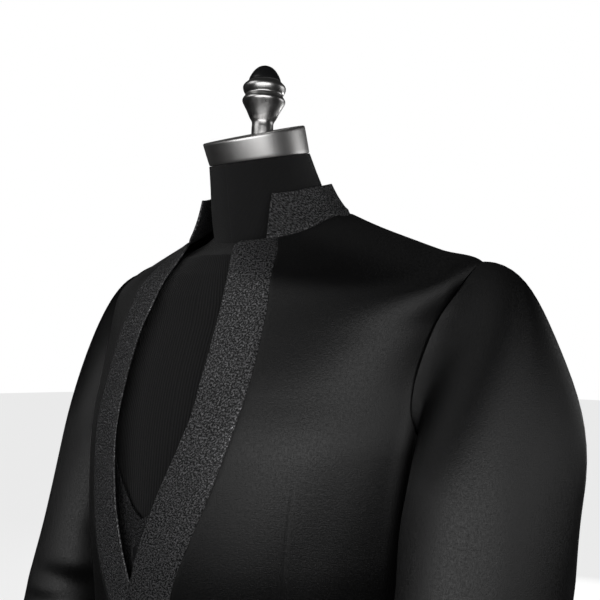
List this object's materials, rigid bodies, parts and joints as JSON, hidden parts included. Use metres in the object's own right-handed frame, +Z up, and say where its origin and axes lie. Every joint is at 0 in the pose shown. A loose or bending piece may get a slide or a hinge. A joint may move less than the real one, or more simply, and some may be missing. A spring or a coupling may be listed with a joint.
{
  "type": "nehru tuxedo jacket and waistcoat on a dress form",
  "caption": "Black evening jacket with a brocade stand collar and front strips, and its low-cut waistcoat, shown on a limbless dress form with a turned finial and a round base.",
  "frame": {"origin": "centre of the round base's underside", "axes": "+Z up, the wearer's front towards -Y, the wearer's left towards +X"},
  "size_m": [0.6488, 0.368, 1.2079],
  "materials": {
    "suiting": "smooth fine wool with a soft satin sheen",
    "brocade": "black jacquard with fine glinting figures",
    "jersey": "matt ribbed jersey cover",
    "button": "cloth-covered, satin",
    "band": "satin",
    "finial": "turned and polished",
    "stand": "satin black"
  },
  "bodies": {
    "root": {"jacket_front_left": "suiting", "jacket_front_right": "suiting", "jacket_strip_left": "brocade", "jacket_strip_right": "brocade", "jacket_back_left": "suiting", "jacket_back_right": "suiting", "jacket_top_sleeve_left": "suiting", "jacket_top_sleeve_right": "suiting", "jacket_under_sleeve_left": "suiting", "jacket_under_sleeve_right": "suiting", "jacket_collar": "brocade", "jacket_button": "button", "waistcoat_front_left": "brocade", "waistcoat_front_right": "brocade", "waistcoat_back": "brocade", "waistcoat_button_1": "button", "waistcoat_button_2": "button", "waistcoat_button_3": "button", "waistcoat_button_4": "button", "form_torso": "jersey", "form_neck_cap": "band", "form_finial": "finial", "stand_pole": "stand", "stand_base": "stand"}
  },
  "joints": []
}
